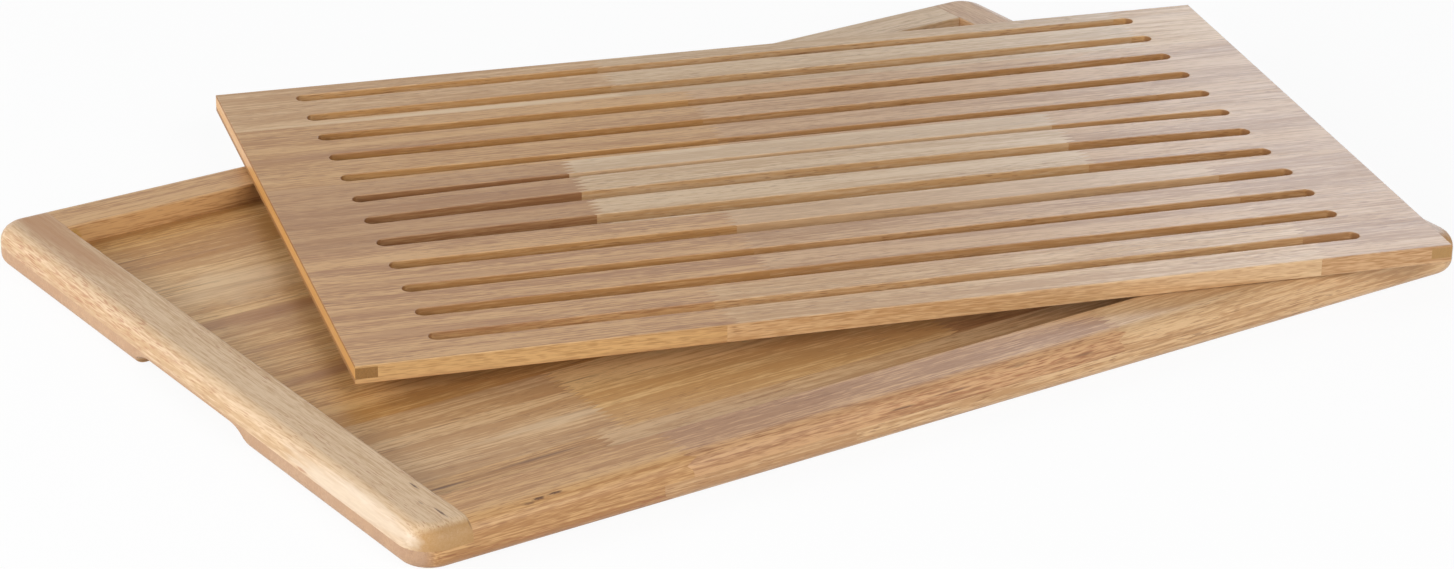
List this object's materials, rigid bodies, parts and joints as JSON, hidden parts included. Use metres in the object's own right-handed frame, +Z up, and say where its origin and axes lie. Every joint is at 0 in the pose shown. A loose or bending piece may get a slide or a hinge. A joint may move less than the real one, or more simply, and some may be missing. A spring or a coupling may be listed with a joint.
{
  "type": "bread board",
  "caption": "Wooden bread board: a slatted board lifts off a shallow crumb tray that has a recess for it, rounded edges and a finger grip under each short side.",
  "frame": {"origin": "middle of the crumb tray's underside, on the surface that it stands on", "axes": "+X along the tray's length, +Y to its back, +Z up"},
  "size_m": [0.6759, 0.4974, 0.0293],
  "materials": {
    "tray_base_wood": "planed rubberwood, thinly oiled, reddish tan",
    "rail_wood": "sanded rubberwood, thinly oiled, pale tan",
    "board_wood": "sanded rubberwood, satin, pinkish tan",
    "tongue_wood": "planed rubberwood, honey orange"
  },
  "bodies": {
    "crumb_tray": {"base_stave_1_left": "tray_base_wood", "base_stave_1_middle": "tray_base_wood", "base_stave_1_right": "tray_base_wood", "base_stave_2_left": "tray_base_wood", "base_stave_2_middle": "tray_base_wood", "base_stave_2_right": "tray_base_wood", "base_stave_3_left": "tray_base_wood", "base_stave_3_middle": "tray_base_wood", "base_stave_3_right": "tray_base_wood", "base_stave_4_left": "tray_base_wood", "base_stave_4_middle": "tray_base_wood", "base_stave_4_right": "tray_base_wood", "base_stave_5_left": "tray_base_wood", "base_stave_5_middle": "tray_base_wood", "base_stave_5_right": "tray_base_wood", "base_stave_6_left": "tray_base_wood", "base_stave_6_middle": "tray_base_wood", "base_stave_6_right": "tray_base_wood", "left_rail": "rail_wood", "right_rail": "rail_wood", "front_rail_left": "rail_wood", "front_rail_middle": "rail_wood", "front_rail_right": "rail_wood", "back_rail_left": "rail_wood", "back_rail_middle": "rail_wood", "back_rail_right": "rail_wood"},
    "slatted_board": {"left_cross_tongue": "tongue_wood", "right_cross_tongue": "tongue_wood", "board_stave_1_left": "board_wood", "board_stave_1_middle_slat_1": "board_wood", "board_stave_1_middle_slat_2": "board_wood", "board_stave_1_middle_slat_3": "board_wood", "board_stave_1_right": "board_wood", "board_stave_2_left": "board_wood", "board_stave_2_middle_slat_1": "board_wood", "board_stave_2_middle_slat_2": "board_wood", "board_stave_2_middle_slat_3": "board_wood", "board_stave_2_middle_slat_4": "board_wood", "board_stave_2_right": "board_wood", "board_stave_3_left": "board_wood", "board_stave_3_middle_slat_1": "board_wood", "board_stave_3_middle_slat_2": "board_wood", "board_stave_3_middle_slat_3": "board_wood", "board_stave_3_middle_slat_4": "board_wood", "board_stave_3_right": "board_wood", "board_stave_4_left": "board_wood", "board_stave_4_middle_slat_1": "board_wood", "board_stave_4_middle_slat_2": "board_wood", "board_stave_4_middle_slat_3": "board_wood", "board_stave_4_middle_slat_4": "board_wood", "board_stave_4_right": "board_wood", "board_stave_5_left": "board_wood", "board_stave_5_middle_slat_1": "board_wood", "board_stave_5_middle_slat_2": "board_wood", "board_stave_5_right": "board_wood"}
  },
  "joints": [
    {"name": "board_lift", "type": "slide", "parent": "crumb_tray", "child": "slatted_board", "axis": [0, 0, 1], "range_m": [0, 0.15]}
  ]
}
